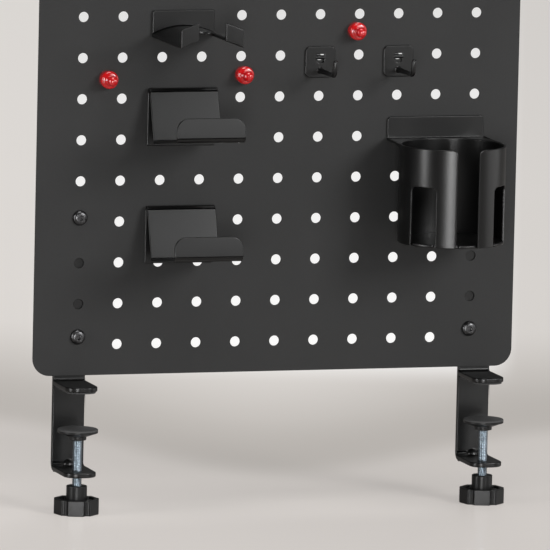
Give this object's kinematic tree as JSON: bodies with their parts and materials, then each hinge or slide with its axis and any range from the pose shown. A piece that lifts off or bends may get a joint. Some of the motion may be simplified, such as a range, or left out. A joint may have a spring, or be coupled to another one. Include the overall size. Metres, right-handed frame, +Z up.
{
  "type": "clamp-on desk pegboard",
  "caption": "Perforated steel pegboard on two desk clamps, with a headphone holder, shelves, hooks, a cup holder and magnetic pins.",
  "frame": {"origin": "on the desk's rear edge, midway between the two clamps: on the plane of the desk top, which the pads under the upper jaws rest on, and on the plane of the clamps' back plates' front faces, which the desk's rear edge meets", "axes": "+X to the right of someone who faces the board, +Z up, and -Y from the board towards that person, over the desk"},
  "size_m": [0.311, 0.0793, 0.5018],
  "materials": {
    "black_steel": "fine matte powder coat",
    "black_bolts": "satin black oxide",
    "zinc_steel": "bright zinc plating",
    "black_plastic": "satin",
    "black_rubber": "matte",
    "red_plastic": "glossy",
    "magnet": "nickel plated"
  },
  "bodies": {
    "frame": {"pegboard_panel": "black_steel", "left_clamp_strip": "black_steel", "right_clamp_strip": "black_steel", "left_upper_jaw": "black_steel", "right_upper_jaw": "black_steel", "left_jaw_pad": "black_rubber", "right_jaw_pad": "black_rubber", "panel_bolts": "black_bolts", "panel_nuts": "zinc_steel"},
    "left_pad": {"left_pressure_plate": "black_plastic", "left_cushion": "black_rubber"},
    "right_pad": {"right_pressure_plate": "black_plastic", "right_cushion": "black_rubber"},
    "left_screw": {"left_clamp_screw": "zinc_steel", "left_knob": "black_plastic"},
    "right_screw": {"right_clamp_screw": "zinc_steel", "right_knob": "black_plastic"},
    "headphone_holder": {"headphone_plate": "black_steel", "headphone_saddle": "black_steel", "headphone_tongues": "black_steel"},
    "upper_shelf_body": {"upper_shelf": "black_steel", "upper_shelf_tongues": "black_steel"},
    "lower_shelf_body": {"lower_shelf": "black_steel", "lower_shelf_tongues": "black_steel"},
    "left_hook": {"left_hook_plate": "black_steel", "left_hook_rod": "black_steel"},
    "right_hook": {"right_hook_plate": "black_steel", "right_hook_rod": "black_steel"},
    "cup_holder": {"cup_bracket": "black_steel", "cup_shell": "black_steel", "cup_floor": "black_steel", "cup_tongues": "black_steel"},
    "left_pin_body": {"left_pin": "red_plastic", "left_pin_magnet": "magnet"},
    "middle_pin_body": {"middle_pin": "red_plastic", "middle_pin_magnet": "magnet"},
    "right_pin_body": {"right_pin": "red_plastic", "right_pin_magnet": "magnet"}
  },
  "joints": [
    {"name": "left_pad_travel", "type": "slide", "parent": "frame", "child": "left_pad", "axis": [0, 0, 1], "range_m": [-0.018, 0.006]},
    {"name": "left_knob_turn", "type": "hinge", "parent": "left_pad", "child": "left_screw", "pos_m": [-0.1315, -0.021, -0.06], "axis": [0, 0, 1], "range_deg": [-6480, 2160]},
    {"name": "right_pad_travel", "type": "slide", "parent": "frame", "child": "right_pad", "axis": [0, 0, 1], "range_m": [-0.018, 0.006]},
    {"name": "right_knob_turn", "type": "hinge", "parent": "right_pad", "child": "right_screw", "pos_m": [0.1315, -0.021, -0.06], "axis": [0, 0, 1], "range_deg": [-6480, 2160]},
    {"name": "headphone_holder_tip", "type": "hinge", "parent": "frame", "child": "headphone_holder", "pos_m": [-0.0635, -0.0012, 0.25012], "axis": [-1, 0, 0], "range_deg": [0, 28]},
    {"name": "upper_shelf_tip", "type": "hinge", "parent": "frame", "child": "upper_shelf_body", "pos_m": [-0.0635, -0.0012, 0.19932], "axis": [-1, 0, 0], "range_deg": [0, 28]},
    {"name": "lower_shelf_tip", "type": "hinge", "parent": "frame", "child": "lower_shelf_body", "pos_m": [-0.0635, -0.0012, 0.12312], "axis": [-1, 0, 0], "range_deg": [0, 28]},
    {"name": "left_hook_tip", "type": "hinge", "parent": "frame", "child": "left_hook", "pos_m": [0.0254, -0.0012, 0.22447], "axis": [-1, 0, 0], "range_deg": [0, 28]},
    {"name": "right_hook_tip", "type": "hinge", "parent": "frame", "child": "right_hook", "pos_m": [0.0762, -0.0012, 0.22447], "axis": [-1, 0, 0], "range_deg": [0, 28]},
    {"name": "cup_holder_tip", "type": "hinge", "parent": "frame", "child": "cup_holder", "pos_m": [0.1016, -0.0012, 0.17392], "axis": [-1, 0, 0], "range_deg": [0, 28]},
    {"name": "left_pin_pull", "type": "slide", "parent": "frame", "child": "left_pin_body", "axis": [0, -1, 0], "range_m": [0, 0.03]},
    {"name": "middle_pin_pull", "type": "slide", "parent": "frame", "child": "middle_pin_body", "axis": [0, -1, 0], "range_m": [0, 0.03]},
    {"name": "right_pin_pull", "type": "slide", "parent": "frame", "child": "right_pin_body", "axis": [0, -1, 0], "range_m": [0, 0.03]}
  ],
  "couplings": [
    {"joint": "left_pad_travel", "follows": "left_knob_turn", "m_per_rad": 0.00015915},
    {"joint": "right_pad_travel", "follows": "right_knob_turn", "m_per_rad": 0.00015915}
  ]
}
